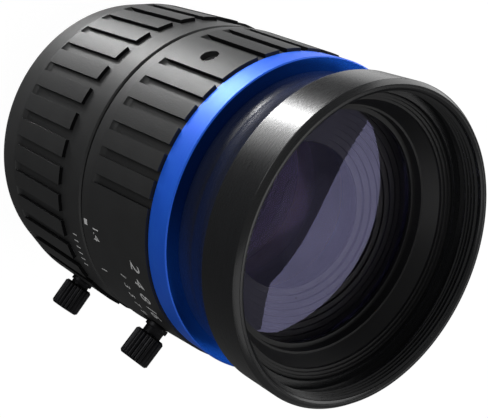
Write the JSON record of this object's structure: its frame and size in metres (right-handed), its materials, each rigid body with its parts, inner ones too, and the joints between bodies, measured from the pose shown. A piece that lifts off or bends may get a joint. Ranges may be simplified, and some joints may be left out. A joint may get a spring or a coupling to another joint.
{
  "type": "c-mount machine vision lens",
  "caption": "Fixed focal length machine vision lens with C thread, focus ring, iris ring with swinging blades, knurled lock screws, blue accent ring and flared hood.",
  "frame": {"origin": "on the optical axis, on the flange face that meets the camera", "axes": "+Z along the optical axis to the front of the lens; -Y is the side with the aperture index"},
  "size_m": [0.0427, 0.0429, 0.0614],
  "materials": {
    "black_anodised": "satin black anodised",
    "inner_black_anodised": "matt black anodised",
    "blue_anodised": "bright blue anodised",
    "brass": "turned",
    "steel": "plain",
    "blackened_screw": "black oxide, knurled",
    "blackened_blade": "matt black",
    "coated_glass": "coated, violet reflection"
  },
  "bodies": {
    "mount": {"mount_barrel": "inner_black_anodised", "focus_retaining_ring": "inner_black_anodised", "guide_screw_1": "steel", "guide_screw_2": "steel"},
    "focus_ring": {"focus_ring": "black_anodised", "helicoid_sleeve": "brass"},
    "focus_lock_screw": {"focus_lock_screw": "blackened_screw"},
    "front_unit": {"lens_barrel": "inner_black_anodised", "hood": "black_anodised", "accent_ring": "blue_anodised", "front_retaining_ring": "inner_black_anodised", "front_cell": "inner_black_anodised", "lens_2_retaining_ring": "inner_black_anodised", "iris_retaining_ring": "inner_black_anodised", "rear_cell": "inner_black_anodised", "rear_cell_front_retainer": "inner_black_anodised", "rear_spacer": "inner_black_anodised", "tail_spacer": "inner_black_anodised", "rear_retaining_ring": "inner_black_anodised", "lens_1": "coated_glass", "lens_2": "coated_glass", "lens_3": "coated_glass", "lens_4": "coated_glass", "lens_5": "coated_glass", "lens_6": "coated_glass", "lens_7": "coated_glass"},
    "iris_ring": {"iris_ring": "black_anodised", "iris_drive_screw": "steel", "iris_cam_ring": "brass"},
    "iris_lock_screw": {"iris_lock_screw": "blackened_screw"},
    "iris_blade_1": {"iris_blade_1": "blackened_blade"},
    "iris_blade_2": {"iris_blade_2": "blackened_blade"},
    "iris_blade_3": {"iris_blade_3": "blackened_blade"},
    "iris_blade_4": {"iris_blade_4": "blackened_blade"},
    "iris_blade_5": {"iris_blade_5": "blackened_blade"},
    "iris_blade_6": {"iris_blade_6": "blackened_blade"}
  },
  "joints": [
    {"name": "focus_turn", "type": "hinge", "parent": "mount", "child": "focus_ring", "pos_m": [0, 0, 0.015], "axis": [0, 0, 1], "range_deg": [0, 210]},
    {"name": "front_slide", "type": "slide", "parent": "mount", "child": "front_unit", "axis": [0, 0, 1], "range_m": [0, 0.0044]},
    {"name": "focus_lock_turn", "type": "hinge", "parent": "focus_ring", "child": "focus_lock_screw", "pos_m": [0.0159, -0.01797, 0.015], "axis": [0.6626, -0.749, 0], "range_deg": [0, 360]},
    {"name": "iris_turn", "type": "hinge", "parent": "front_unit", "child": "iris_ring", "pos_m": [0, 0, 0.034], "axis": [0, 0, 1], "range_deg": [0, 54]},
    {"name": "iris_lock_turn", "type": "hinge", "parent": "iris_ring", "child": "iris_lock_screw", "pos_m": [0.01478, -0.01891, 0.0352], "axis": [0.6157, -0.788, 0], "range_deg": [0, 360]},
    {"name": "blade_1_swing", "type": "hinge", "parent": "front_unit", "child": "iris_blade_1", "pos_m": [0.0145, 0, 0.032], "axis": [0, 0, 1], "range_deg": [0, 28]},
    {"name": "blade_2_swing", "type": "hinge", "parent": "front_unit", "child": "iris_blade_2", "pos_m": [0.00725, 0.01256, 0.032], "axis": [0, 0, 1], "range_deg": [0, 28]},
    {"name": "blade_3_swing", "type": "hinge", "parent": "front_unit", "child": "iris_blade_3", "pos_m": [-0.00725, 0.01256, 0.032], "axis": [0, 0, 1], "range_deg": [0, 28]},
    {"name": "blade_4_swing", "type": "hinge", "parent": "front_unit", "child": "iris_blade_4", "pos_m": [-0.0145, 0, 0.032], "axis": [0, 0, 1], "range_deg": [0, 28]},
    {"name": "blade_5_swing", "type": "hinge", "parent": "front_unit", "child": "iris_blade_5", "pos_m": [-0.00725, -0.01256, 0.032], "axis": [0, 0, 1], "range_deg": [0, 28]},
    {"name": "blade_6_swing", "type": "hinge", "parent": "front_unit", "child": "iris_blade_6", "pos_m": [0.00725, -0.01256, 0.032], "axis": [0, 0, 1], "range_deg": [0, 28]}
  ],
  "couplings": [
    {"joint": "focus_turn", "follows": "front_slide", "rad_per_m": 793.33},
    {"joint": "blade_1_swing", "follows": "iris_turn", "ratio": 0.5},
    {"joint": "blade_2_swing", "follows": "iris_turn", "ratio": 0.5},
    {"joint": "blade_3_swing", "follows": "iris_turn", "ratio": 0.5},
    {"joint": "blade_4_swing", "follows": "iris_turn", "ratio": 0.5},
    {"joint": "blade_5_swing", "follows": "iris_turn", "ratio": 0.5},
    {"joint": "blade_6_swing", "follows": "iris_turn", "ratio": 0.5}
  ]
}
